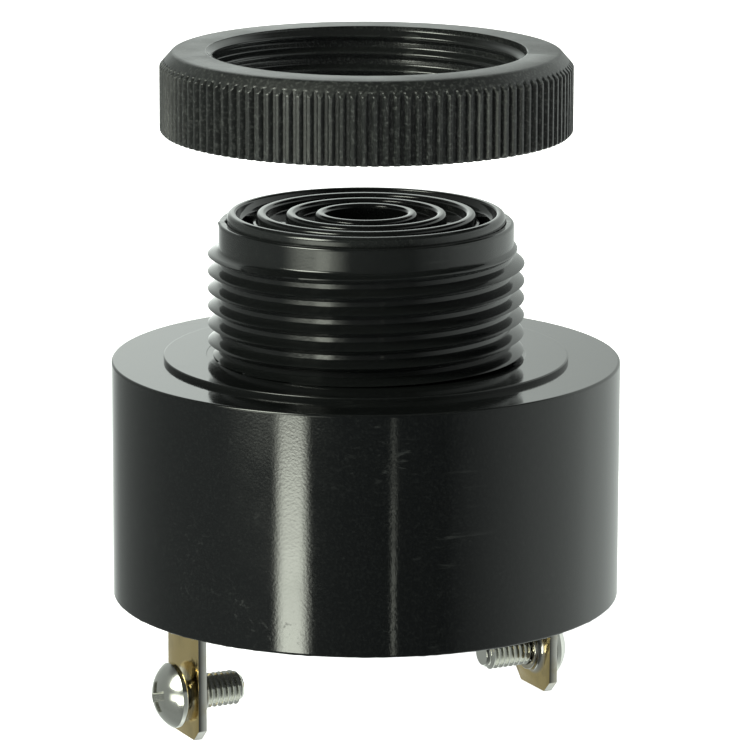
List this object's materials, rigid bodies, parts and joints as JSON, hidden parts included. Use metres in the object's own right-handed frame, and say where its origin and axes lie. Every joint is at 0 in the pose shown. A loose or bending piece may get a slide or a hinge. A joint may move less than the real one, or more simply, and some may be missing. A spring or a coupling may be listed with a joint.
{
  "type": "piezo buzzer",
  "caption": "Round panel-mount piezo buzzer: black housing with a threaded, ring-grilled nose, a fluted ring nut off its thread, and tab terminals with screws behind.",
  "frame": {"origin": "centre of the panel seat, on the axis of the nose", "axes": "+Z out of the nose along its thread, +X through the two terminals"},
  "size_m": [0.0434, 0.0434, 0.0578],
  "materials": {
    "housing_plastic": "semi-gloss black moulding",
    "grille_plastic": "gloss black moulding",
    "nut_plastic": "satin charcoal moulding",
    "plated_tab": "bright nickel plate",
    "zinc_screw": "bright zinc plate",
    "cover_plastic": "matte black moulding",
    "brass_disc": "rolled brass",
    "silvered_ceramic": "fired silver over ceramic",
    "soft_silicone": "translucent silicone",
    "board_laminate": "green solder mask",
    "black_resin": "moulded black resin",
    "resistor_lacquer": "tan lacquer",
    "capacitor_sleeve": "dark blue sleeve",
    "red_insulation": "red insulation",
    "blue_insulation": "blue insulation",
    "black_insulation": "black insulation"
  },
  "bodies": {
    "buzzer": {"housing": "housing_plastic", "sound_grille": "grille_plastic", "left_terminal": "plated_tab", "right_terminal": "plated_tab", "left_screw": "zinc_screw", "right_screw": "zinc_screw", "rear_cover": "cover_plastic", "diaphragm": "brass_disc", "piezo_ceramic": "silvered_ceramic", "nodal_ring": "soft_silicone", "circuit_board": "board_laminate", "transistor": "black_resin", "bias_resistor": "resistor_lacquer", "load_resistor": "resistor_lacquer", "feedback_resistor": "resistor_lacquer", "polarity_diode": "black_resin", "supply_capacitor": "capacitor_sleeve", "drive_wire": "red_insulation", "feedback_wire": "blue_insulation", "ground_wire": "black_insulation"},
    "nut": {"ring_nut": "nut_plastic"}
  },
  "joints": [
    {"name": "nut_travel", "type": "slide", "parent": "buzzer", "child": "nut", "axis": [0, 0, 1], "range_m": [-0.01925, 0]}
  ]
}
